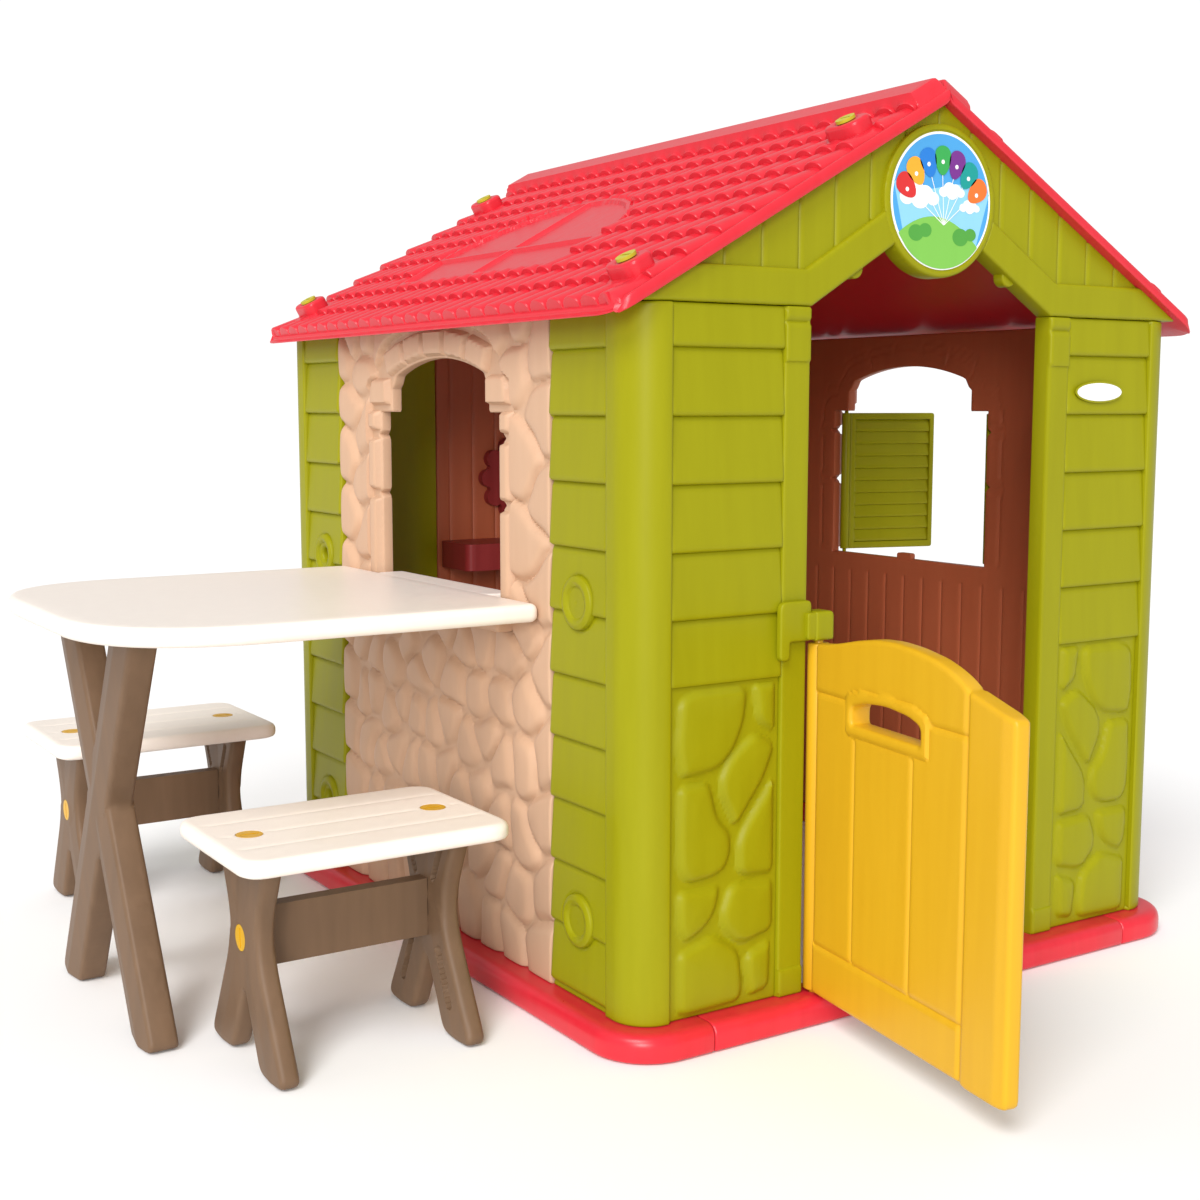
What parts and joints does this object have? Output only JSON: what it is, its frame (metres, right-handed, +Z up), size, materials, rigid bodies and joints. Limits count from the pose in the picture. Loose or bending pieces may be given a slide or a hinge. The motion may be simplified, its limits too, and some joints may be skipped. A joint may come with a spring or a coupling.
{
  "type": "plastic playhouse",
  "caption": "Moulded plastic children's playhouse with a pitched roof, swinging half door, shuttered window, hook-on side table and matching stools.",
  "frame": {"origin": "middle of the whole set's footprint, on the ground, with the door open and the table and stools in place", "axes": "+Z up, -Y towards the front door, -X towards the table"},
  "size_m": [1.6618, 1.5257, 1.206],
  "materials": {
    "red_plastic": "satin moulded plastic",
    "green_plastic": "satin moulded plastic",
    "beige_plastic": "satin moulded plastic",
    "brown_plastic": "satin moulded plastic",
    "dark_red_plastic": "satin moulded plastic",
    "taupe_plastic": "satin moulded plastic",
    "yellow_plastic": "satin moulded plastic",
    "printed_sign": "printed picture on film",
    "white_label": "plain printed film"
  },
  "bodies": {
    "house": {"base_left": "red_plastic", "base_right": "red_plastic", "base_front": "red_plastic", "base_back": "red_plastic", "post_front_left": "green_plastic", "post_front_right": "green_plastic", "post_back_left": "green_plastic", "post_back_right": "green_plastic", "wall_left": "beige_plastic", "wall_right": "brown_plastic", "wall_back": "brown_plastic", "gable_front": "green_plastic", "gable_back": "green_plastic", "gable_sign": "printed_sign", "oval_label": "white_label", "roof_left": "red_plastic", "roof_right": "red_plastic", "roof_clamps": "red_plastic", "roof_screws": "yellow_plastic", "door_hinge_bracket": "green_plastic", "play_counter": "dark_red_plastic", "wall_dial": "dark_red_plastic", "dial_hub": "yellow_plastic"},
    "door": {"door": "yellow_plastic"},
    "shutter_front": {"shutter_front": "green_plastic"},
    "shutter_back": {"shutter_back": "green_plastic"},
    "table": {"table_top": "beige_plastic", "table_leg": "taupe_plastic"},
    "stool_front": {"stool_front_seat": "beige_plastic", "stool_front_leg_outer": "taupe_plastic", "stool_front_leg_inner": "taupe_plastic", "stool_front_stretcher": "taupe_plastic", "stool_front_seat_screws": "yellow_plastic", "stool_front_side_screws": "yellow_plastic"},
    "stool_back": {"stool_back_seat": "beige_plastic", "stool_back_leg_outer": "taupe_plastic", "stool_back_leg_inner": "taupe_plastic", "stool_back_stretcher": "taupe_plastic", "stool_back_seat_screws": "yellow_plastic", "stool_back_side_screws": "yellow_plastic"}
  },
  "joints": [
    {"name": "door_hinge", "type": "hinge", "parent": "house", "child": "door", "pos_m": [0.00209, -0.36414, 0.04], "axis": [0, 0, 1], "range_deg": [-25, 98.5]},
    {"name": "shutter_front_hinge", "type": "hinge", "parent": "house", "child": "shutter_front", "pos_m": [0.65909, -0.01514, 0.523], "axis": [0, 0, 1], "range_deg": [-33, 75]},
    {"name": "shutter_back_hinge", "type": "hinge", "parent": "house", "child": "shutter_back", "pos_m": [0.65909, 0.34086, 0.523], "axis": [0, 0, 1], "range_deg": [-75, 33]},
    {"name": "table_lift_off", "type": "slide", "parent": "house", "child": "table", "axis": [0, 0, 1], "range_m": [0, 0.15]},
    {"name": "stool_front_lift_off", "type": "slide", "parent": "house", "child": "stool_front", "axis": [0, 0, 1], "range_m": [0, 0.15]},
    {"name": "stool_back_lift_off", "type": "slide", "parent": "house", "child": "stool_back", "axis": [0, 0, 1], "range_m": [0, 0.15]}
  ]
}
